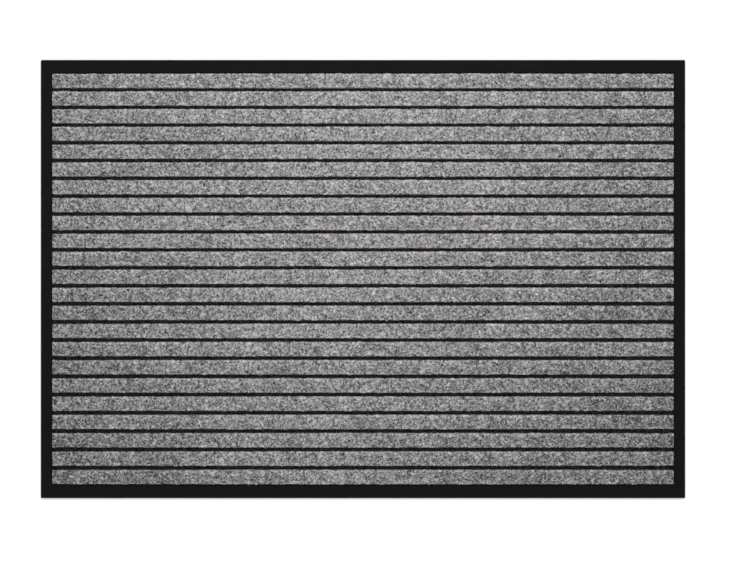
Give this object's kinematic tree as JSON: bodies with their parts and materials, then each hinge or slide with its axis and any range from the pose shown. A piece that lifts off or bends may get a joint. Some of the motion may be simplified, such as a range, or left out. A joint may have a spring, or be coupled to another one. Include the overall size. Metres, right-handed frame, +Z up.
{
  "type": "door mat",
  "caption": "Rectangular entrance mat with raised grey felt ribs across a black ground, set in a flat black non-slip border; shoes are wiped on it.",
  "frame": {"origin": "centre of the flat underside, on the floor", "axes": "+X along the long side and the ribs, towards the mat's right; +Y towards the rear edge, where rib_01 is; +Z up"},
  "size_m": [0.6, 0.408, 0.007],
  "materials": {
    "backing_rubber": "matte black moulded soft vinyl with a fine grain",
    "bonding_film": "thin dark bonding film, hidden",
    "ground_felt": "black needle-punched felt",
    "rib_pile": "coarse looped needle felt, melange of light and dark grey fibres"
  },
  "bodies": {
    "root": {"backing": "backing_rubber", "bonding_film": "bonding_film", "ground_felt": "ground_felt", "rib_01": "rib_pile", "rib_02": "rib_pile", "rib_03": "rib_pile", "rib_04": "rib_pile", "rib_05": "rib_pile", "rib_06": "rib_pile", "rib_07": "rib_pile", "rib_08": "rib_pile", "rib_09": "rib_pile", "rib_10": "rib_pile", "rib_11": "rib_pile", "rib_12": "rib_pile", "rib_13": "rib_pile", "rib_14": "rib_pile", "rib_15": "rib_pile", "rib_16": "rib_pile", "rib_17": "rib_pile", "rib_18": "rib_pile", "rib_19": "rib_pile", "rib_20": "rib_pile", "rib_21": "rib_pile", "rib_22": "rib_pile", "rib_23": "rib_pile"}
  },
  "joints": []
}
